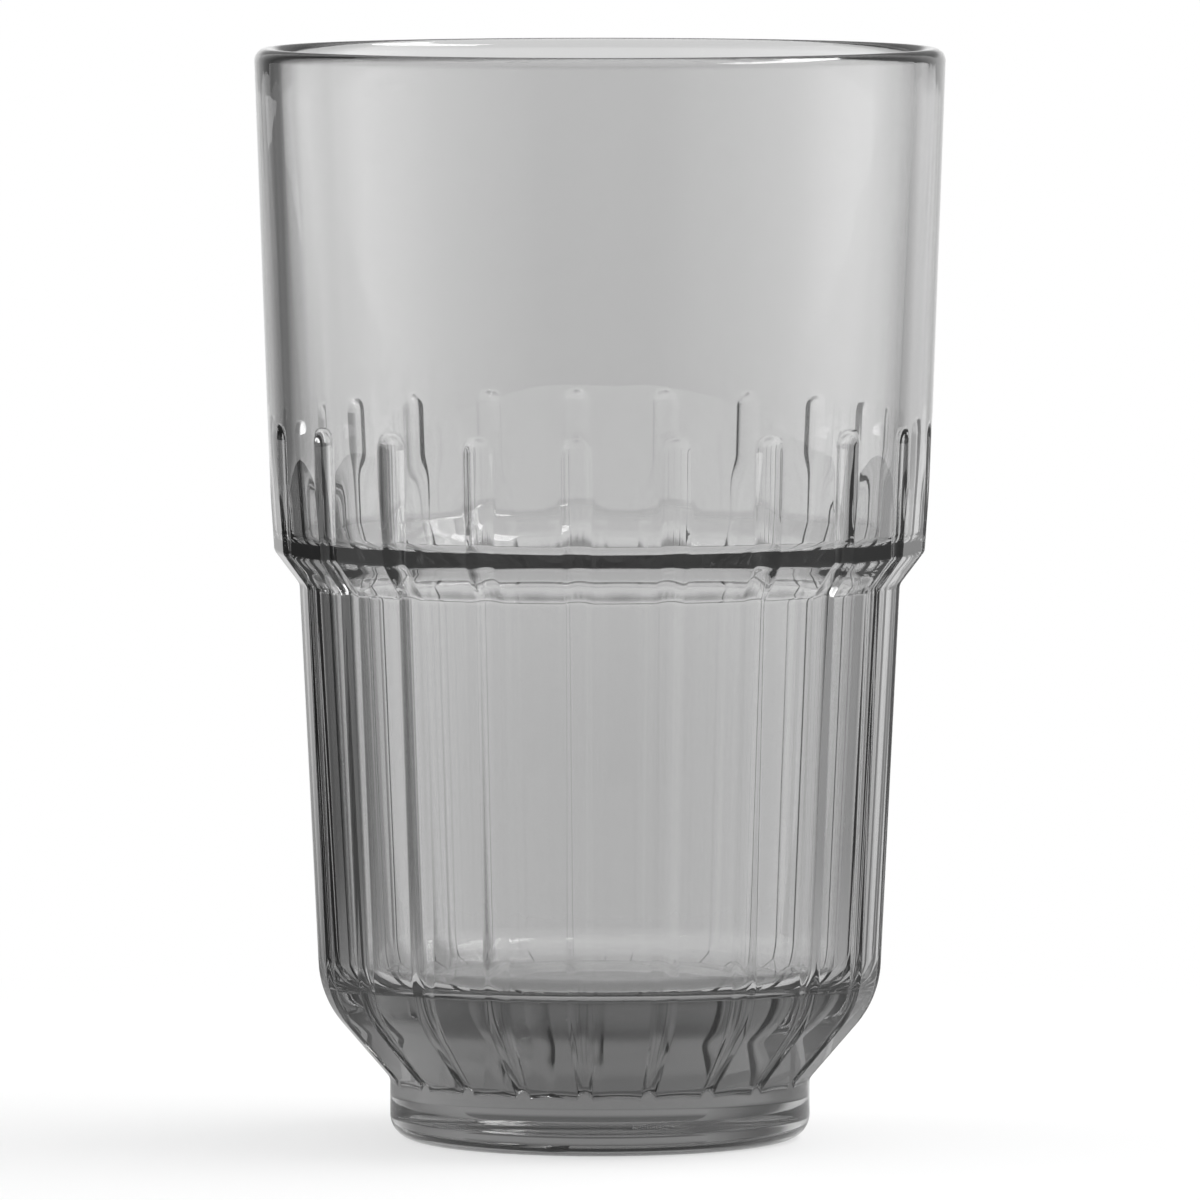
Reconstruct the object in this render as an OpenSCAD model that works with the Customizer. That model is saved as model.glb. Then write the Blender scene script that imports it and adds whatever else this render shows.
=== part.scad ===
// Highball glass, pressed in one piece from smoke-grey soda-lime glass.
// The axis of the glass is Z, and the foot stands on the plane Z = 0.
// One flute is centred on -Y, and the flat panels lie between the flutes.

/* [Heights] */
// From the table to the top of the lip
glass_h = 135; // [120:0.5:150]
// From the table to the neck, where the bevel rises from the round foot
foot_h = 7.7; // [5:0.1:10]
// From the neck to the hip, where the bevel turns into the lower wall
bevel_h = 9.9; // [8:0.1:13]
// From the hip to the lower edge of the step
lower_h = 51.3; // [40:0.1:58]
// From the lower edge of the step to its upper edge
step_h = 4.1; // [3:0.1:6]
// From the upper edge of the step to the tops of the flat panels
panel_rise = 12.8; // [9:0.1:14]
// From the upper edge of the step to the centre of each flute's round top
flute_rise = 14.1; // [12:0.1:18]
// Thickness of the glass under the floor of the bowl
floor_h = 20; // [17:0.1:24]

/* [Outside] */
// Number of flat panels, and of the flutes between them
panel_count = 21; // [18:1:24]
// Radius of the round foot
foot_r = 26; // [23:0.1:28]
// Radius to the middle of a panel at the hip
hip_r = 34.5; // [32:0.1:36]
// Radius to the middle of a panel at the lower edge of the step
waist_r = 37; // [36.5:0.1:38.5]
// Radius of the round wall at the upper edge of the step
step_r = 40.5; // [40:0.1:42]
// Radius of the round wall at the lip
mouth_r = 42.7; // [42.3:0.1:46]

/* [Walls] */
// Thickness at the lip, which is rounded over it
mouth_wall = 3.1; // [2.2:0.1:4]
// Thickness at the upper edge of the step
step_wall = 4.3; // [3.4:0.1:5.5]
// Thickness at the lower edge of the step
waist_wall = 4.1; // [3.4:0.1:5.5]
// Thickness at the hip
hip_wall = 4.6; // [3.6:0.1:6]

/* [Flutes] */
// Half the width of a flute at its round top
flute_top_half = 2; // [1.4:0.05:2.4]
// Half the width of a flute at the lower edge of the step
flute_waist_half = 2.05; // [1.4:0.05:2.3]
// Half the width of a flute at the hip
flute_hip_half = 1.85; // [1.2:0.05:2.1]
// Half the width of a flute at the neck
flute_neck_half = 0.95; // [0.7:0.05:1.2]
// Depth of a flute below the ridge that it replaces
flute_depth = 0.65; // [0.5:0.05:0.9]
// Depth of a flute in the round wall above the step
flute_top_depth = 0.6; // [0.3:0.05:0.9]

/* [Roundings] */
// Radius of each edge of the lip, as a share of the lip's thickness
lip_share = 0.45; // [0.3:0.01:0.48]
// Outer edge of the foot, next to the table
foot_round = 3; // [1:0.1:4]
// Turn of the bevel into the lower wall
hip_round = 12.5; // [6:0.5:14]
// Lower edge of the step, an inner corner
waist_round = 1.5; // [0.5:0.1:3]
// Upper edge of the step
step_round = 1.2; // [0.5:0.1:2.5]
// Corner between the floor and the wall of the bowl
floor_round = 3; // [2:0.5:12]
// Top of the ledge inside the bowl, an inner corner opposite the step
ledge_round = 1.8; // [1:0.1:3]
// Edge of that ledge, where it turns down into the lower wall
ledge_edge_round = 6; // [3:0.5:8]

/* [Underside] */
// Radius of the shallow dish that leaves a ring to stand on
dish_r = 20; // [14:0.5:22]
// Depth of that dish
dish_depth = 0.9; // [0.4:0.1:2]

/* [Hidden] */
$fn = 96;

// Steps in each rounded turn of an outline, in the hip's wider turn, and in a flute round the hip
turn_steps = 3;
hip_steps = 5;
flute_hip_steps = 2;
// How far a cut runs past what it cuts
overrun = flute_depth / 4;
lip_r = mouth_wall * lip_share;

// Half the angle between two flutes, and how much farther out the ridge of two panels lies
panel_half_angle = 180 / panel_count;
ridge_share = 1 / cos(panel_half_angle);

hip_z = foot_h + bevel_h;
waist_z = hip_z + lower_h;
step_z = waist_z + step_h;
panel_top_z = step_z + panel_rise;
flute_top_z = step_z + flute_rise;

// Radius of the round wall above the step at height z
function wall_r(z) = step_r + (mouth_r - step_r) * (z - step_z) / (glass_h - step_z);

function unit(v) = v / norm(v);

// Arc of radius r that touches a-b and b-c, from the a side to the c side
function turn(a, b, c, r, steps) =
    let (
        u = unit(a - b),
        w = unit(c - b),
        half = acos(u * w) / 2,
        centre = b + unit(u + w) * r / sin(half),
        first = b + u * r / tan(half) - centre,
        last = b + w * r / tan(half) - centre,
        start = atan2(first[1], first[0]),
        sweep = (atan2(last[1], last[0]) - start + 540) % 360 - 180
    )
    [for (i = [0:steps]) centre + r * [cos(start + sweep * i / steps), sin(start + sweep * i / steps)]];

// Corners of the outline through the middle of a panel, from the neck to the panel's top
neck_point = [foot_r, foot_h];
hip_point = [hip_r, hip_z];
waist_point = [waist_r, waist_z];
step_point = [step_r / ridge_share, step_z];
panel_top_point = [wall_r(panel_top_z), panel_top_z];

// The panel's outline from the bevel to the upper edge of the step, with its turns
panel_line = concat(
    turn(neck_point, hip_point, waist_point, hip_round, hip_steps),
    turn(hip_point, waist_point, step_point, waist_round, turn_steps),
    turn(waist_point, step_point, panel_top_point, step_round, turn_steps)
);

// Where the ridge between two panels lies, for a point in the middle of a panel
function ridge_of(p) = [p[0] * ridge_share, p[1]];

// The line through a and b, carried to height z
function carry(a, b, z) = a + (b - a) * (z - a[1]) / (b[1] - a[1]);

// Where the bevel ends, inside the foot
sunk_point = carry(neck_point, hip_point, foot_h - flute_depth);

// Round body before anything is cut from it: just outside the ridges up to the step, and the
// round wall and the lip above it
module blank() {
    lip_z = glass_h - lip_r;
    wall_low_z = step_z - overrun;
    rotate_extrude()
        polygon(concat(
            [[0, sunk_point[1]]],
            [for (p = [sunk_point, hip_point, waist_point]) ridge_of(p) + [overrun, 0]],
            [[wall_r(wall_low_z), wall_low_z], [wall_r(lip_z), lip_z]],
            [for (i = [1:turn_steps]) [
                wall_r(lip_z) - lip_r + lip_r * cos(90 * i / turn_steps),
                lip_z + lip_r * sin(90 * i / turn_steps)
            ]],
            [[0, glass_h]]
        ));
}

// Everything outside one flat panel, which faces +X
module panel_cut() {
    outside_r = mouth_r + foot_r;
    low = carry(neck_point, hip_point, sunk_point[1] - overrun);
    top = carry(step_point, panel_top_point, glass_h);
    rotate([90, 0, 0])
        linear_extrude(height = 4 * mouth_r * tan(panel_half_angle), center = true)
            polygon(concat(
                [[outside_r, low[1]], low],
                panel_line,
                [top, [outside_r, top[1]]]
            ));
}

// Radius of the round cutter that leaves a flute of this half width and depth
function cutter_r(half, depth) = (half * half + depth * depth) / (2 * depth);

// Straight round cutter along one stretch of the ridge, run on past both ends
module flute_run(low, high, low_half, high_half, low_depth = flute_depth, high_depth = flute_depth) {
    low_r = cutter_r(low_half, low_depth);
    high_r = cutter_r(high_half, high_depth);
    length = norm(high - low);
    along = unit(high - low);
    out = [along[1], -along[0]];
    start = low + out * (low_r - low_depth);
    end = high + out * (high_r - high_depth);
    past = flute_depth / 2;
    slope = (high_r - low_r) / length;
    translate([start[0], 0, start[1]])
        rotate([0, atan2(end[0] - start[0], end[1] - start[1]), 0])
            translate([0, 0, -past])
                cylinder(
                    h = length + 2 * past,
                    r1 = low_r - slope * past,
                    r2 = high_r + slope * past
                );
}

// One flute, on the +X side, from inside the foot to the round top
module flute_cut() {
    top_r = cutter_r(flute_top_half, flute_top_depth);
    top_point = [wall_r(flute_top_z), flute_top_z];
    hip_turn = turn(
        ridge_of(neck_point), ridge_of(hip_point), ridge_of(waist_point), hip_round, flute_hip_steps
    );
    flute_run(ridge_of(sunk_point), hip_turn[0], flute_neck_half, flute_hip_half);
    for (i = [1:flute_hip_steps])
        flute_run(hip_turn[i - 1], hip_turn[i], flute_hip_half, flute_hip_half);
    flute_run(hip_turn[flute_hip_steps], ridge_of(waist_point), flute_hip_half, flute_waist_half);
    flute_run(
        ridge_of(waist_point), ridge_of(step_point), flute_waist_half, flute_top_half,
        flute_depth, flute_top_depth
    );
    flute_run(
        ridge_of(step_point), top_point, flute_top_half, flute_top_half,
        flute_top_depth, flute_top_depth
    );
    translate([top_point[0] + top_r - flute_top_depth, 0, top_point[1]])
        sphere(r = top_r);
}

// The blank with its first flat panels cut, one after another
module panelled(count) {
    if (count == 0)
        blank();
    else
        difference() {
            panelled(count - 1);
            rotate([0, 0, (2 * count - 1) * panel_half_angle - 90])
                panel_cut();
        }
}

// The panelled body with its first flutes cut along the ridges
module fluted(count) {
    if (count == 0)
        panelled(panel_count);
    else
        difference() {
            fluted(count - 1);
            rotate([0, 0, 2 * count * panel_half_angle - 90])
                flute_cut();
        }
}

// The round foot, carried up inside the body so that it closes the lower end of each flute
module foot() {
    core_h = foot_h + flute_depth * 3;
    rotate_extrude()
        polygon(concat(
            [[0, 0]],
            [for (i = [0:turn_steps]) [
                foot_r - foot_round + foot_round * sin(90 * i / turn_steps),
                foot_round - foot_round * cos(90 * i / turn_steps)
            ]],
            [[foot_r, core_h], [0, core_h]]
        ));
}

// The space inside the bowl, open at the mouth
module bowl_space() {
    floor_r = hip_r - hip_wall;
    floor_point = [floor_r, floor_h];
    low_point = [waist_r - waist_wall, waist_z + waist_wall * 2 / 3];
    ledge_point = [step_r - step_wall, step_z + step_wall / 2];
    mouth_point = [mouth_r - mouth_wall, glass_h - lip_r];
    rotate_extrude()
        polygon(concat(
            [[0, floor_h]],
            turn([0, floor_h], floor_point, low_point, floor_round, hip_steps),
            turn(floor_point, low_point, ledge_point, ledge_edge_round, turn_steps),
            turn(low_point, ledge_point, mouth_point, ledge_round, turn_steps),
            [for (i = [0:turn_steps - 1]) [
                mouth_point[0] + lip_r - lip_r * cos(90 * i / turn_steps),
                mouth_point[1] + lip_r * sin(90 * i / turn_steps)
            ]],
            [
                [mouth_point[0] + lip_r, glass_h],
                [mouth_point[0] + lip_r, glass_h + overrun],
                [0, glass_h + overrun]
            ]
        ));
}

// The shallow dish under the foot
module underside_dish() {
    sphere_r = (dish_r * dish_r + dish_depth * dish_depth) / (2 * dish_depth);
    translate([0, 0, dish_depth - sphere_r])
        sphere(r = sphere_r);
}

module tumbler() {
    color([0.42, 0.43, 0.44, 0.6])
        difference() {
            union() {
                fluted(panel_count);
                foot();
            }
            bowl_space();
            underside_dish();
        }
}

tumbler();
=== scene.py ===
# %% [markdown]
# # A highball glass in smoke-grey pressed glass
# The glass is one piece: a gob of molten glass is dropped into a mould, and a plunger presses
# it out against the wall. The mould gives the outside its flat panels, its flutes and its step,
# and the plunger gives the inside its smooth round wall. Everything that makes it look like
# glass happens inside one closed skin, so this lesson makes that skin as a single surface,
# fills it with grey glass, and puts it in a plain pale studio.

# %% Load the solid model as the frame
import math

import bpy
import numpy as np
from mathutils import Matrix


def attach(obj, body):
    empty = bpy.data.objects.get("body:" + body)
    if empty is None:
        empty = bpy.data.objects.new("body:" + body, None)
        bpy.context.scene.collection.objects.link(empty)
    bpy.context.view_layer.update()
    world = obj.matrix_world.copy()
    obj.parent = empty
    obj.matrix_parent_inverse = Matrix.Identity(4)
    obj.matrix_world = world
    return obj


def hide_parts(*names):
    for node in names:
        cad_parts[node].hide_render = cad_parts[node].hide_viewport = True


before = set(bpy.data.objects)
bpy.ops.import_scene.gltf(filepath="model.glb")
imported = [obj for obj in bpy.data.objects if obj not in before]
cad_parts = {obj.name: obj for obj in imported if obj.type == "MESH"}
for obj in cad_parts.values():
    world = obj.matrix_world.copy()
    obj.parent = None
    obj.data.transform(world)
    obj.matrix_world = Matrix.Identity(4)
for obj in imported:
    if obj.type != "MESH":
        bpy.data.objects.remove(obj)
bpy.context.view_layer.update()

# %% [markdown]
# ## The sizes of the glass
# These are the sizes of the solid model, in millimetres. Shapes are worked out in millimetres,
# because a maker thinks of a wall of 3 and a flute of 2, and they turn into metres only when
# they become a mesh. The lip is the one exception: the solid keeps a narrow flat ring on it,
# and here it is rounded over its whole thickness, as fire polishing leaves it.

# %% Heights and radii
MM = 0.001

GLASS_H = 135.0
FOOT_H = 7.7
BEVEL_H = 9.9
LOWER_H = 51.3
STEP_H = 4.1
PANEL_RISE = 12.8
FLUTE_RISE = 14.1
FLOOR_H = 20.0

HIP_Z = FOOT_H + BEVEL_H
WAIST_Z = HIP_Z + LOWER_H
STEP_Z = WAIST_Z + STEP_H
PANEL_TOP_Z = STEP_Z + PANEL_RISE
FLUTE_TOP_Z = STEP_Z + FLUTE_RISE

PANELS = 21
FOOT_R = 26.0
HIP_R = 34.5
WAIST_R = 37.0
STEP_R = 40.5
MOUTH_R = 42.7

DISH_R = 20.0
DISH_DEPTH = 0.9

HALF_ANGLE = math.pi / PANELS
RIDGE_SHARE = 1 / math.cos(HALF_ANGLE)
print("one panel and its flute take", round(math.degrees(2 * HALF_ANGLE), 2), "degrees")

# %% Walls, flutes and roundings
MOUTH_WALL = 3.1
STEP_WALL = 4.3
WAIST_WALL = 4.1
HIP_WALL = 4.6

FLUTE_DEPTH = 0.65
FLUTE_TOP_DEPTH = 0.6
FLUTE_NECK_HALF = 0.95
FLUTE_HIP_HALF = 1.85
FLUTE_WAIST_HALF = 2.05
FLUTE_TOP_HALF = 2.0

FOOT_ROUND = 3.0
HIP_ROUND = 12.5
WAIST_ROUND = 1.5
STEP_ROUND = 1.2
FLOOR_ROUND = 3.0
LEDGE_EDGE_ROUND = 6.0
LEDGE_ROUND = 1.8
LIP_R = MOUTH_WALL / 2
LIP_Z = GLASS_H - LIP_R
print("the lip is rounded over", LIP_R, "mm, from a height of", LIP_Z, "mm")

# %% [markdown]
# ## Rounded outlines
# A mould maker draws an outline as a few straight lines and rounds every corner with a small
# cutter. The helper below does the same: it takes the corners and one radius for each, and
# puts an arc that touches both lines in place of each corner.

# %% Outlines from corners and radii
def arc_at(a, b, c, radius, steps):
    """Points of the arc of this radius that touches the lines a-b and b-c: its centre lies on
    the line that halves the corner's angle, at radius / sin(half the angle) from b."""
    a, b, c = (np.asarray(p, float) for p in (a, b, c))
    u = (a - b) / np.linalg.norm(a - b)
    w = (c - b) / np.linalg.norm(c - b)
    half = math.acos(float(u @ w)) / 2
    middle = (u + w) / np.linalg.norm(u + w)
    centre = b + middle * radius / math.sin(half)
    first = b + u * radius / math.tan(half) - centre
    last = b + w * radius / math.tan(half) - centre
    start = math.atan2(first[1], first[0])
    sweep = (math.atan2(last[1], last[0]) - start + 3 * math.pi) % (2 * math.pi) - math.pi
    t = start + sweep * np.linspace(0, 1, steps + 1)
    return centre + radius * np.column_stack([np.cos(t), np.sin(t)])


def rounded(corners, radii, steps):
    """The outline through these corners, as points (radius, height). Each inner corner is
    replaced by its arc, and the two ends stay as they are."""
    parts = [np.array([corners[0]], float)]
    for i, (radius, count) in enumerate(zip(radii, steps)):
        parts.append(arc_at(corners[i], corners[i + 1], corners[i + 2], radius, count))
    parts.append(np.array([corners[-1]], float))
    return np.vstack(parts)


def carried(a, b, z):
    """The point at height z on the line through a and b: a + (b - a) * (z - a_z) / (b_z - a_z)."""
    share = (z - a[1]) / (b[1] - a[1])
    return (a[0] + (b[0] - a[0]) * share, z)


def wall_r(z):
    """Radius of the round upper wall at height z: a straight taper from the step to the lip."""
    return STEP_R + (MOUTH_R - STEP_R) * (z - STEP_Z) / (GLASS_H - STEP_Z)

# %% [markdown]
# ## The outside
# Seen from above, the lower body is a polygon of 21 flat panels, and each ridge between two
# panels is cut away by a round-bottomed flute. Above the step the wall is round. So the
# outside is a radius that depends on two things, the direction and the height, and it is the
# smallest of three radii: the flat panel's, the round wall's and the flute's. Fire polishing
# softens every edge, so a soft minimum is used, which rounds the edge where two of them meet.

# %% Soft minimum and soft maximum
def soft_min(a, b, soft):
    """The smaller of a and b. Where they differ by less than soft, a parabola rounds the
    change from one to the other: (soft - |a - b|)^2 / (4 soft) lower, so soft / 4 at most."""
    gap = np.clip(soft - np.abs(a - b), 0, None)
    return np.minimum(a, b) - gap * gap / (4 * soft)


def soft_max(a, b, soft):
    """The larger of a and b, with the same rounding above it."""
    return -soft_min(-a, -b, soft)

# %% The outline through the middle of a panel
NECK = (FOOT_R, FOOT_H)
HIP = (HIP_R, HIP_Z)
WAIST = (WAIST_R, WAIST_Z)
STEP = (STEP_R / RIDGE_SHARE, STEP_Z)
PANEL_TOP = (wall_r(PANEL_TOP_Z), PANEL_TOP_Z)

panel_outline = rounded(
    [carried(NECK, HIP, 0.0), HIP, WAIST, STEP, carried(STEP, PANEL_TOP, GLASS_H)],
    radii=[HIP_ROUND, WAIST_ROUND, STEP_ROUND],
    steps=[40, 24, 24],
)


def panel_r(z):
    """Distance of the flat panels from the axis at height z."""
    return np.interp(z, panel_outline[:, 1], panel_outline[:, 0])


def ridge_r(z):
    """Radius at the ridge between two panels, or of the round wall where that is smaller."""
    return np.minimum(panel_r(z) * RIDGE_SHARE, wall_r(z))


print("radius at the middle of a panel, at the hip, the waist and the step:")
print([round(float(panel_r(z)), 2) for z in (HIP_Z, WAIST_Z, STEP_Z)])

# %% The flutes
# How steeply a flute's surface leaves the glass past the edge of its cross-section
LEAVING_SLOPE = 3


def flute_half(z):
    """Half the width of a flute: narrow at the neck, and wider in straight stretches above."""
    return np.interp(
        z,
        [FOOT_H, HIP_Z, WAIST_Z, STEP_Z],
        [FLUTE_NECK_HALF, FLUTE_HIP_HALF, FLUTE_WAIST_HALF, FLUTE_TOP_HALF],
    )


def flute_depth(z):
    """Depth of a flute below its ridge: full up to the step, and shallower in the round wall."""
    return np.interp(z, [WAIST_Z, STEP_Z], [FLUTE_DEPTH, FLUTE_TOP_DEPTH])


def flute_r(from_ridge, z):
    """Radius of the flute's floor at an angle from its ridge. Its cross-section is an arc of a
    circle of radius (half^2 + depth^2) / (2 depth), one flute depth deep and two half widths
    wide, stretched where the wall leans. Above FLUTE_TOP_Z the circle becomes a ball, which
    gives the flute its round top."""
    half = flute_half(z)
    depth = flute_depth(z)
    arc = (half ** 2 + depth ** 2) / (2 * depth)
    rise = np.gradient(ridge_r(z[:, 0]), z[:, 0])[:, None]
    lean = np.sqrt(1 + rise ** 2)
    ridge = ridge_r(z)
    across = ridge * np.tan(from_ridge)
    past_top = np.clip(z - FLUTE_TOP_Z, 0, None)
    off_centre = np.sqrt(across ** 2 + past_top ** 2)
    sunk = np.sqrt(np.clip(arc ** 2 - off_centre ** 2, 0, None))
    outside = np.clip(off_centre - arc, 0, None)
    along = ridge + lean * (arc - depth - sunk + LEAVING_SLOPE * outside)
    return along / np.cos(from_ridge)

# %% The outside as a radius over direction and height
# Softness of the edges: a panel's round top, a flute on the bevel and above the step, a flute
# in the lower wall, and the neck above the foot
PANEL_TOP_SOFT = 0.04
CRISP_FLUTE = 0.12
SOFT_FLUTE = 0.28
NECK_SOFT = 0.4
# How far above the hip a flute's edge is at its softest
SOFTENING_H = 8


def outside_r(from_ridge, z):
    """Radius of the outside at an angle from the nearest ridge and at height z: the smallest of
    panel, round wall and flute, and never less than the foot. The flutes' edges are crisp on the
    bevel and above the step, and softer in the lower wall between."""
    panel = panel_r(z) / np.cos(HALF_ANGLE - from_ridge)
    body = soft_min(panel, wall_r(z), PANEL_TOP_SOFT)
    soft = np.interp(
        z,
        [HIP_Z, HIP_Z + SOFTENING_H, WAIST_Z, STEP_Z],
        [CRISP_FLUTE, SOFT_FLUTE, SOFT_FLUTE, CRISP_FLUTE],
    )
    body = soft_min(body, flute_r(from_ridge, z), soft)
    return soft_max(body, FOOT_R, NECK_SOFT)

# %% [markdown]
# ## The inside
# The plunger is turned on a lathe, so the inside is round everywhere: a flat floor with a tight
# corner, a wall that widens slowly, a ledge opposite the step, and the upper wall.

# %% Inside outline, from the lip down to the floor
inside_outline = rounded(
    [
        (MOUTH_R - MOUTH_WALL, LIP_Z),
        (STEP_R - STEP_WALL, STEP_Z + STEP_WALL / 2),
        (WAIST_R - WAIST_WALL, WAIST_Z + WAIST_WALL * 2 / 3),
        (HIP_R - HIP_WALL, FLOOR_H),
        (0.0, FLOOR_H),
    ],
    radii=[LEDGE_ROUND, LEDGE_EDGE_ROUND, FLOOR_ROUND],
    steps=[9, 9, 16],
)
print("points of the inside outline:", len(inside_outline))

# %% [markdown]
# ## One closed skin
# The skin is a grid of rows and columns. The rows follow the outline from the middle of the
# underside, out to the resting ring, up the outside, over the lip and down the inside to the
# middle of the floor. The columns go round the glass, and they are drawn together at the edges
# of the flutes, where the shape changes most. Two single points close the ends of the grid.

# %% Heights of the rows on the outside
# Each stretch is (lowest row, highest row, number of rows), dense where the outline turns and
# where the flutes end
ROW_STRETCHES = [
    (3.2, 5.6, 4),
    (5.9, 11.0, 24),
    (11.4, 24.0, 24),
    (26.0, 66.0, 12),
    (66.6, 76.5, 44),
    (77.1, 86.4, 16),
    (86.7, 90.0, 20),
    (92.0, LIP_Z, 10),
]
row_z = np.concatenate([np.linspace(*stretch) for stretch in ROW_STRETCHES])

# %% Angles of the columns
FLUTE_SHARES = np.array([0.0, 0.35, 0.65, 0.85, 0.94, 1.0, 1.06, 1.18])
PANEL_SHARES = np.array([0.33, 0.68])


def column_angles(z):
    """Angle of every column in every row, and its angle from the nearest ridge. From a ridge
    outwards, columns come at fixed shares of the flute's half width, and then at fixed shares
    of what is left up to the middle of the panel."""
    edge = (flute_half(z) / ridge_r(z))[:, None]
    near = edge * FLUTE_SHARES
    far = near[:, -1:] + (HALF_ANGLE - near[:, -1:]) * PANEL_SHARES
    right = np.hstack([near, far])
    middle = np.full((len(z), 1), HALF_ANGLE)
    left = -right[:, :0:-1]
    sector = np.hstack([left, right, middle])
    turns = (2 * HALF_ANGLE * np.arange(PANELS) - math.pi / 2)[None, :, None]
    angle = (sector[:, None, :] + turns).reshape(len(z), -1)
    from_ridge = np.tile(np.abs(sector), (1, PANELS))
    return angle, from_ridge


outer_angle, outer_from_ridge = column_angles(row_z)
outer_height = np.repeat(row_z[:, None], outer_angle.shape[1], axis=1)
outer_radius = outside_r(outer_from_ridge, outer_height)
print("outside rows and columns:", outer_radius.shape)

# %% The round rows: underside, lip and inside
# The foot's edge stops just short of upright, where the rows of the outside take over
FOOT_EDGE_TURN = 84
# Points along each outline, from the middle of the dish and along each rounded edge
DISH_POINTS = 9
FOOT_EDGE_POINTS = 9
LIP_POINTS = 15

t = np.linspace(0, 1, DISH_POINTS)[1:]
dish = np.column_stack([DISH_R * t, DISH_DEPTH * (1 - t ** 2)])

t = np.radians(np.linspace(0, FOOT_EDGE_TURN, FOOT_EDGE_POINTS))
foot_edge = np.column_stack([
    FOOT_R - FOOT_ROUND + FOOT_ROUND * np.sin(t),
    FOOT_ROUND - FOOT_ROUND * np.cos(t),
])

t = np.radians(np.linspace(0, 180, LIP_POINTS)[1:])
lip_middle = (wall_r(LIP_Z) + MOUTH_R - MOUTH_WALL) / 2
lip_half = (wall_r(LIP_Z) - MOUTH_R + MOUTH_WALL) / 2
lip = np.column_stack([lip_middle + np.cos(t) * lip_half, LIP_Z + LIP_R * np.sin(t)])

underside = np.vstack([dish, foot_edge])
inside = np.vstack([lip, inside_outline[1:-1]])
print("round rows below, and over the lip and inside:", len(underside), len(inside))

# %% All rows, in order
def round_rows(outline, angle):
    """Points of a turned surface: each outline point (r, z) becomes (r cos a, r sin a, z) for
    every angle a round the glass."""
    radius, height = outline[:, :1], outline[:, 1:]
    return np.stack([radius * np.cos(angle), radius * np.sin(angle), height + 0 * angle], axis=-1)


rows = np.concatenate([
    round_rows(underside, outer_angle[:1]),
    np.stack([
        outer_radius * np.cos(outer_angle),
        outer_radius * np.sin(outer_angle),
        outer_height,
    ], axis=-1),
    round_rows(inside, outer_angle[-1:]),
])
print("rows in the skin:", len(rows))

# %% Turn the grid into a mesh
def closed_skin(name, grid, first_pole, last_pole):
    """A closed mesh from rows of points that go round. Each cell of the grid is a four-sided
    face, and each end row is joined to its pole by triangles."""
    count, around = grid.shape[:2]
    points = np.vstack([grid.reshape(-1, 3), [first_pole, last_pole]]) * MM
    column = np.arange(around)
    after = (column + 1) % around
    start = np.arange(count - 1)[:, None] * around
    cells = np.stack(
        [start + column, start + after, start + around + after, start + around + column],
        axis=-1,
    )
    top = (count - 1) * around
    low_cap = np.stack([np.full(around, count * around), after, column], axis=-1)
    high_cap = np.stack([top + column, top + after, np.full(around, count * around + 1)], axis=-1)
    faces = cells.reshape(-1, 4).tolist() + low_cap.tolist() + high_cap.tolist()
    mesh = bpy.data.meshes.new(name)
    mesh.from_pydata(points, [], faces)
    mesh.polygons.foreach_set("use_smooth", np.ones(len(mesh.polygons), bool))
    mesh.update()
    piece = bpy.data.objects.new(name, mesh)
    bpy.context.collection.objects.link(piece)
    return piece


glass = closed_skin("smoke_tumbler", rows, (0, 0, DISH_DEPTH), (0, 0, FLOOR_H))
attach(glass, "root")
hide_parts("tumbler")
print("triangles:", sum(len(p.vertices) - 2 for p in glass.data.polygons))

# %% [markdown]
# ## Smoke-grey glass
# Tinted glass isn't painted: the colour is inside, so thick places such as the base come out
# dark and the thin wall stays pale. A glossy surface lets light in, and a volume takes some of
# it away over every millimetre. In front of a pure white backdrop the thin wall would come out
# too pale next to the base, so the surface takes a small share of the light as well. Pressed
# glass is never quite even, so a very shallow ripple goes over the surface, as the mould and
# the plunger leave it.

# %% The glass material
# Light that passes the surface twice, into the glass and out, keeps this share
SURFACE_SHARE = 0.84
SODA_LIME_IOR = 1.52
# Grey of the volume, and how densely it absorbs, per metre
VOLUME_GREY = 0.42
VOLUME_DENSITY = 51.0
# Ripples to the metre, and their height in metres
RIPPLE_SCALE = 45.0
RIPPLE_HEIGHT = 0.00003


def grey(value):
    """A neutral colour of this value, opaque."""
    return (value, value, value, 1)


def smoke_glass():
    """Clear surface with the refraction of soda-lime glass over a grey absorbing volume. The
    light left after a path of length d, into the glass and out, is
    surface_share * exp(-density * (1 - grey) * d)."""
    material = bpy.data.materials.new("smoke_grey_glass")
    material.use_nodes = True
    nodes, links = material.node_tree.nodes, material.node_tree.links
    surface = nodes["Principled BSDF"]
    surface.inputs["Base Color"].default_value = grey(SURFACE_SHARE)
    surface.inputs["Transmission Weight"].default_value = 1.0
    surface.inputs["IOR"].default_value = SODA_LIME_IOR
    surface.inputs["Roughness"].default_value = 0.0

    smoke = nodes.new("ShaderNodeVolumeAbsorption")
    smoke.inputs["Color"].default_value = grey(VOLUME_GREY)
    smoke.inputs["Density"].default_value = VOLUME_DENSITY
    links.new(smoke.outputs["Volume"], nodes["Material Output"].inputs["Volume"])

    place = nodes.new("ShaderNodeTexCoord")
    ripple = nodes.new("ShaderNodeTexNoise")
    ripple.inputs["Scale"].default_value = RIPPLE_SCALE
    ripple.inputs["Detail"].default_value = 1.0
    bump = nodes.new("ShaderNodeBump")
    bump.inputs["Strength"].default_value = 1.0
    bump.inputs["Distance"].default_value = RIPPLE_HEIGHT
    links.new(place.outputs["Object"], ripple.inputs["Vector"])
    links.new(ripple.outputs["Fac"], bump.inputs["Height"])
    links.new(bump.outputs["Normal"], surface.inputs["Normal"])
    return material


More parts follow.
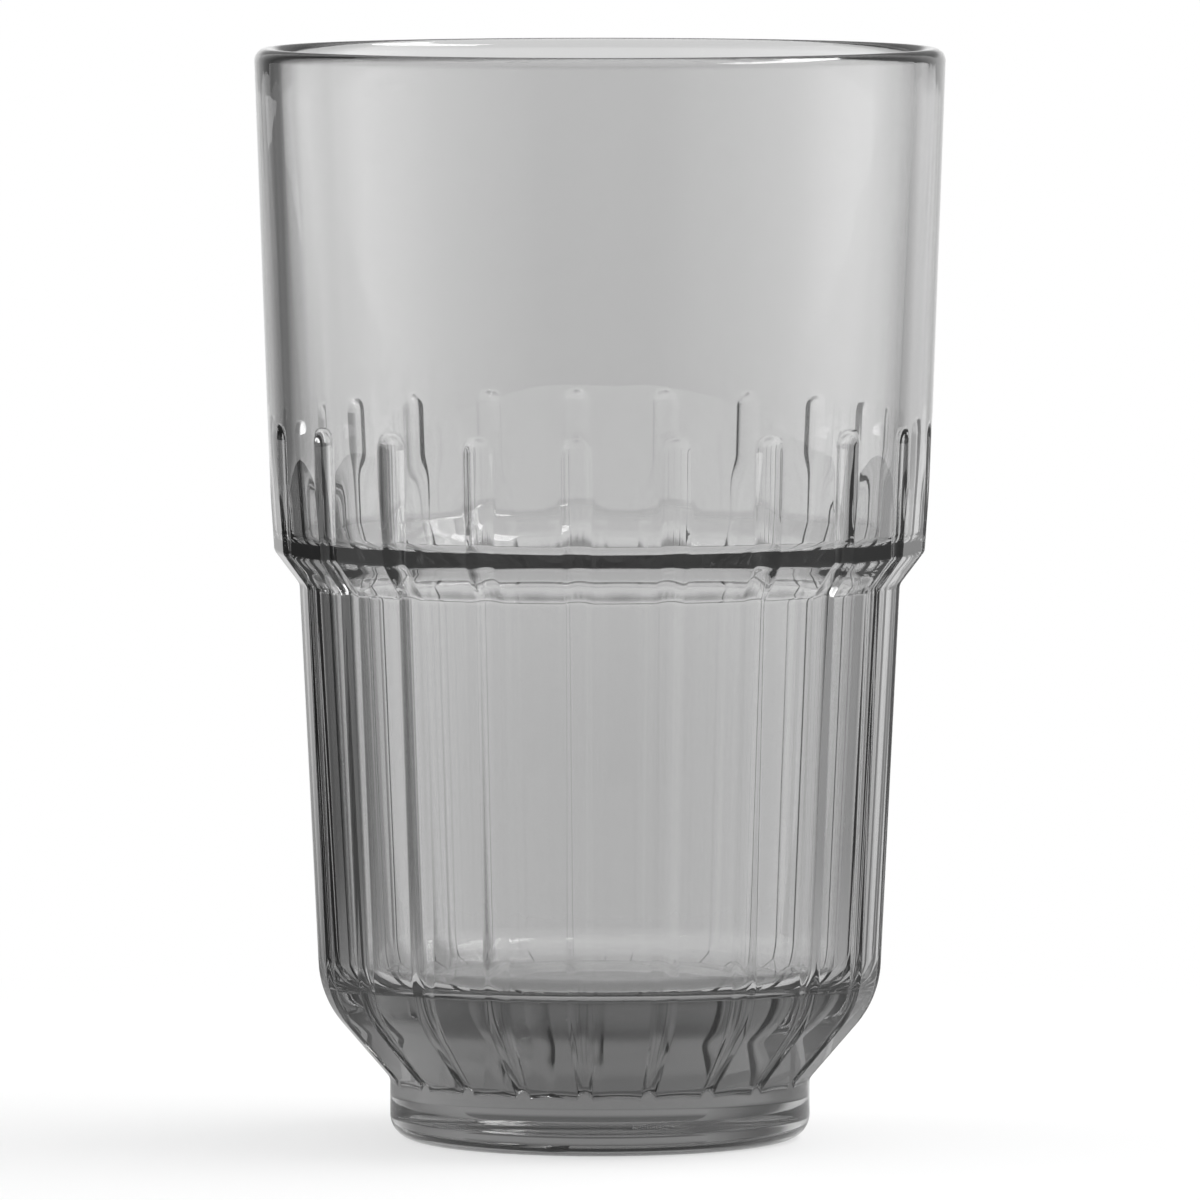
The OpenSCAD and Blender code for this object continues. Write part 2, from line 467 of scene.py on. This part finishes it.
glass.data.materials.append(smoke_glass())
two_walls = 2 * MOUTH_WALL * MM
let_through = SURFACE_SHARE ** 2 * math.exp(-VOLUME_DENSITY * (1 - VOLUME_GREY) * two_walls)
print("light left after two walls at the lip, before reflections:", round(let_through, 2))

# %% [markdown]
# ## The studio
# Glass has hardly any look of its own: it shows what stands round it. Straight behind the glass
# is a white backdrop of limited width, which gives the wall its even grey. Past its edges the
# room is darker, and that draws the dark lines down the sides, as black cards do beside a glass
# in a studio. The camera's side is darker too, which keeps reflections out of the middle of the
# picture. The world makes the room from three heights: white round the horizon, darker above
# that, and a pale ceiling. The camera itself sees plain white all round.

# %% Factors for shaders
def joined(tree, operation, first, second):
    """Two factors put together by one sum, product or other operation."""
    join = tree.nodes.new("ShaderNodeMath")
    join.operation = operation
    tree.links.new(first, join.inputs[0])
    tree.links.new(second, join.inputs[1])
    return join.outputs[0]


def graded(tree, value, start, end, first, last):
    """A smooth change while value goes from start to end. With t the share of that way, held
    between 0 and 1, it is first + (last - first) * (3 t^2 - 2 t^3)."""
    grade = tree.nodes.new("ShaderNodeMapRange")
    grade.interpolation_type = "SMOOTHSTEP"
    grade.inputs["From Min"].default_value = start
    grade.inputs["From Max"].default_value = end
    grade.inputs["To Min"].default_value = first
    grade.inputs["To Max"].default_value = last
    tree.links.new(value, grade.inputs["Value"])
    return grade.outputs["Result"]


def either(tree, factor, at_0, at_1):
    """The value at_0 where the factor is 0, and at_1 where it is 1. Each is a plain number or
    the output of a node."""
    mix = tree.nodes.new("ShaderNodeMix")
    mix.data_type = "FLOAT"
    tree.links.new(factor, mix.inputs[0])
    for socket, value in ((mix.inputs[2], at_0), (mix.inputs[3], at_1)):
        if isinstance(value, float):
            socket.default_value = value
        else:
            tree.links.new(value, socket)
    return mix.outputs[0]

# %% What each kind of ray sees
def seen_directly(tree):
    """A factor that is 1 for the camera and for what glass and metal reflect and let through,
    and 0 for the light that falls on the floor: the largest of three 0-or-1 factors."""
    path = tree.nodes.new("ShaderNodeLightPath")
    straight = joined(tree, "MAXIMUM", path.outputs["Is Camera Ray"], path.outputs["Is Glossy Ray"])
    return joined(tree, "MAXIMUM", straight, path.outputs["Is Transmission Ray"])


def white_for_camera(tree, value):
    """A strength of 1 for the camera, which is white in the picture, and this value for all
    other rays."""
    path = tree.nodes.new("ShaderNodeLightPath")
    return either(tree, path.outputs["Is Camera Ray"], value, 1.0)

# %% The room
# Each line is (from, to, brightness before, brightness after). The first two go by the upward
# part of a direction, and the third goes from the camera's side to the far side.
ABOVE_HORIZON = (0.08, 0.22, 1.0, 0.4)
CEILING = (0.4, 0.6, 0.0, 0.9)
CAMERA_SIDE = (-0.9, 0.1, 0.35, 1.0)
# Brightness of the room for the light that falls on the floor
ROOM_ON_FLOOR = 0.75

world = bpy.data.worlds.new("studio")
bpy.context.scene.world = world
world.use_nodes = True
room = world.node_tree
background = room.nodes["Background"]
background.inputs["Color"].default_value = grey(1)
way = room.nodes.new("ShaderNodeTexCoord")
split = room.nodes.new("ShaderNodeSeparateXYZ")
room.links.new(way.outputs["Generated"], split.inputs[0])
height_light = joined(
    room,
    "ADD",
    graded(room, split.outputs["Z"], *ABOVE_HORIZON),
    graded(room, split.outputs["Z"], *CEILING),
)
room_light = joined(room, "MULTIPLY", height_light, graded(room, split.outputs["Y"], *CAMERA_SIDE))
level = either(room, seen_directly(room), ROOM_ON_FLOOR, room_light)
room.links.new(white_for_camera(room, level), background.inputs["Strength"])
print("nodes in the room:", len(room.nodes))

# %% [markdown]
# ## The floor
# The floor is pale and matt. Close to the glass a part of its brightness comes from the lights
# alone, so the glass's soft shadow stays on it. Farther away it turns into the same white as
# the horizon, as a paper sweep does, so that there is no line between floor and background. The
# camera looks slightly down, so what shows through the glass is this floor, far behind it. So
# the backdrop is made here, by direction from the axis: side goes from -1 at the left to 1 at
# the right, and rearward is 1 straight behind the glass.

# %% Sizes and brightness of the floor
FLOOR_SIZE = 16
FLOOR_GREY = 0.9
FLOOR_ROUGHNESS = 0.9

# Each line is (from, to, value before, value after). By distance in metres: how much of the
# floor is white paper, and how much paler the backdrop gets.
PAPER_BY_DISTANCE = (0.03, 0.22, 0.6, 1.0)
PALER_BY_DISTANCE = (0.3, 1.0, 0.84, 1.0)
# By side: the backdrop's left edge, its right edge, and a slightly brighter right half
LEFT_EDGE = (-0.56, -0.3, 0.17, 0.93)
RIGHT_EDGE = (0.5, 0.68, 1.0, 0.5)
RIGHT_HALF = (0.0, 0.3, 1.0, 1.075)
# By rearward: the floor in front of the glass and beside it
FRONT_AND_SIDES = (0.0, 0.35, 0.89, 0.0)
behind = LEFT_EDGE[3] * RIGHT_EDGE[2]
print("backdrop far off, straight behind and to the right:", behind, round(behind * RIGHT_HALF[3], 2))

# %% The floor and its matt surface
bpy.ops.mesh.primitive_plane_add(size=FLOOR_SIZE)
floor = bpy.context.object
floor.name = "studio_floor"
pale = bpy.data.materials.new("pale_floor")
pale.use_nodes = True
sweep = pale.node_tree
matt = sweep.nodes["Principled BSDF"]
matt.inputs["Base Color"].default_value = grey(FLOOR_GREY)
matt.inputs["Roughness"].default_value = FLOOR_ROUGHNESS
matt.inputs["Specular IOR Level"].default_value = 0.0

# %% Direction and distance from the axis of the glass
spot = sweep.nodes.new("ShaderNodeTexCoord")
length = sweep.nodes.new("ShaderNodeVectorMath")
length.operation = "LENGTH"
sweep.links.new(spot.outputs["Object"], length.inputs[0])
distance = length.outputs["Value"]
axes = sweep.nodes.new("ShaderNodeSeparateXYZ")
sweep.links.new(spot.outputs["Object"], axes.inputs[0])
side = joined(sweep, "DIVIDE", axes.outputs["X"], distance)
rearward = joined(sweep, "DIVIDE", axes.outputs["Y"], distance)

# %% A matt floor that fades into white paper
backdrop = graded(sweep, side, *LEFT_EDGE)
for share in (graded(sweep, side, *RIGHT_EDGE), graded(sweep, side, *RIGHT_HALF)):
    backdrop = joined(sweep, "MULTIPLY", backdrop, share)
backdrop = joined(sweep, "MULTIPLY", backdrop, graded(sweep, distance, *PALER_BY_DISTANCE))
paper = joined(sweep, "MAXIMUM", backdrop, graded(sweep, rearward, *FRONT_AND_SIDES))
white = sweep.nodes.new("ShaderNodeEmission")
sweep.links.new(white_for_camera(sweep, paper), white.inputs["Strength"])
paper_share = joined(
    sweep, "MULTIPLY", graded(sweep, distance, *PAPER_BY_DISTANCE), seen_directly(sweep)
)
blend = sweep.nodes.new("ShaderNodeMixShader")
sweep.links.new(paper_share, blend.inputs[0])
sweep.links.new(matt.outputs[0], blend.inputs[1])
sweep.links.new(white.outputs[0], blend.inputs[2])
sweep.links.new(blend.outputs[0], sweep.nodes["Material Output"].inputs["Surface"])
floor.data.materials.append(pale)
print("nodes in the floor:", len(sweep.nodes))

# %% [markdown]
# ## Light panels
# The lights are bright sheets bent round the glass. A ring stands on the floor, because the
# wall of the glass reflects what is low beside it. It is dark round the camera, brightest at
# the sides, and weak next to the backdrop's edges. A high box at the right, reaching round to
# the rear, draws the bright patches on the ledge and on the foot. Each table gives pairs of
# angle and brightness, with the angle in degrees from the camera's side towards the right.

# %% Sizes and brightness of the lights
LIGHT_AWAY = 0.8
LIGHT_COLUMNS = 49
RING_HEIGHTS = (0.001, 0.9)
HIGH_BOX_HEIGHTS = (0.95, 1.4)

LIGHT_RING = [
    (-155, 0.9), (-146, 0.5), (-138, 0.2), (-130, 0.3), (-122, 1.8), (-110, 2.5),
    (-98, 2.3), (-88, 2.1), (-75, 1.5), (-60, 1.3), (-45, 0.8), (-30, 0.4),
    (-18, 0.0), (20, 0.0), (50, 0.5), (70, 1.3), (82, 2.1), (95, 2.8),
    (108, 3.1), (120, 1.2), (132, 0.5), (155, 1.0),
]
HIGH_BOX = [(62, 10.0), (145, 10.0)]

# %% Bent light panels
def glowing(name):
    """A material that gives off the light written on the points of its mesh."""
    material = bpy.data.materials.new(name)
    material.use_nodes = True
    tree = material.node_tree
    written = tree.nodes.new("ShaderNodeAttribute")
    written.attribute_name = "glow"
    light = tree.nodes.new("ShaderNodeEmission")
    tree.links.new(written.outputs["Fac"], light.inputs["Strength"])
    tree.links.new(light.outputs[0], tree.nodes["Material Output"].inputs["Surface"])
    return material


def light_panel(name, table, heights):
    """An upright strip of a cylinder round the glass, from the first height to the second: its
    points are (R sin a, -R cos a, z). The light at each angle a is read from the table of
    angles and brightnesses, with straight changes between, and kept on the points."""
    angles, brightness = np.transpose(table)
    low, high = heights
    across = np.linspace(angles[0], angles[-1], LIGHT_COLUMNS)
    a = np.radians(across)
    lower = np.column_stack([LIGHT_AWAY * np.sin(a), -LIGHT_AWAY * np.cos(a), 0 * a + low])
    points = np.vstack([lower, lower + [0, 0, high - low]])
    i = np.arange(len(a) - 1)
    faces = np.column_stack([i, i + 1, i + 1 + len(a), i + len(a)])
    mesh = bpy.data.meshes.new(name)
    mesh.from_pydata(points, [], faces.tolist())
    glow = np.tile(np.interp(across, angles, brightness), 2).astype(np.float32)
    mesh.attributes.new("glow", "FLOAT", "POINT").data.foreach_set("value", glow)
    panel = bpy.data.objects.new(name, mesh)
    bpy.context.collection.objects.link(panel)
    panel.visible_camera = False
    mesh.materials.append(glowing(name))
    return panel


light_panel("light_ring", LIGHT_RING, RING_HEIGHTS)
light_panel("high_box", HIGH_BOX, HIGH_BOX_HEIGHTS)
print("brightest part of the ring:", max(value for angle, value in LIGHT_RING))

# %% [markdown]
# ## The camera
# The camera stands low and far off with a long lens, 4 degrees round from the middle of a
# flute, so the rim is a thin ellipse and the glass hardly narrows with distance.

# %% Camera
CAMERA_AWAY = 1.799
CAMERA_HEIGHT = 0.1894
CAMERA_TURN = math.radians(4.0)
AIM_HEIGHT = 0.0667
SENSOR_WIDTH = 36.0
LENS_LENGTH = 437.4
VIEW_LIMIT = 50.0

lens = bpy.data.cameras.new("camera")
lens.sensor_width = SENSOR_WIDTH
lens.lens = LENS_LENGTH
lens.clip_end = VIEW_LIMIT
camera = bpy.data.objects.new("camera", lens)
camera.location = (
    CAMERA_AWAY * math.sin(CAMERA_TURN),
    -CAMERA_AWAY * math.cos(CAMERA_TURN),
    CAMERA_HEIGHT,
)
looking_down = math.atan2(CAMERA_HEIGHT - AIM_HEIGHT, CAMERA_AWAY)
camera.rotation_euler = (math.pi / 2 - looking_down, 0, CAMERA_TURN)
bpy.context.collection.objects.link(camera)
bpy.context.scene.camera = camera
bpy.context.scene.view_settings.view_transform = "Standard"
print("the camera looks down by", round(math.degrees(looking_down), 1), "degrees")
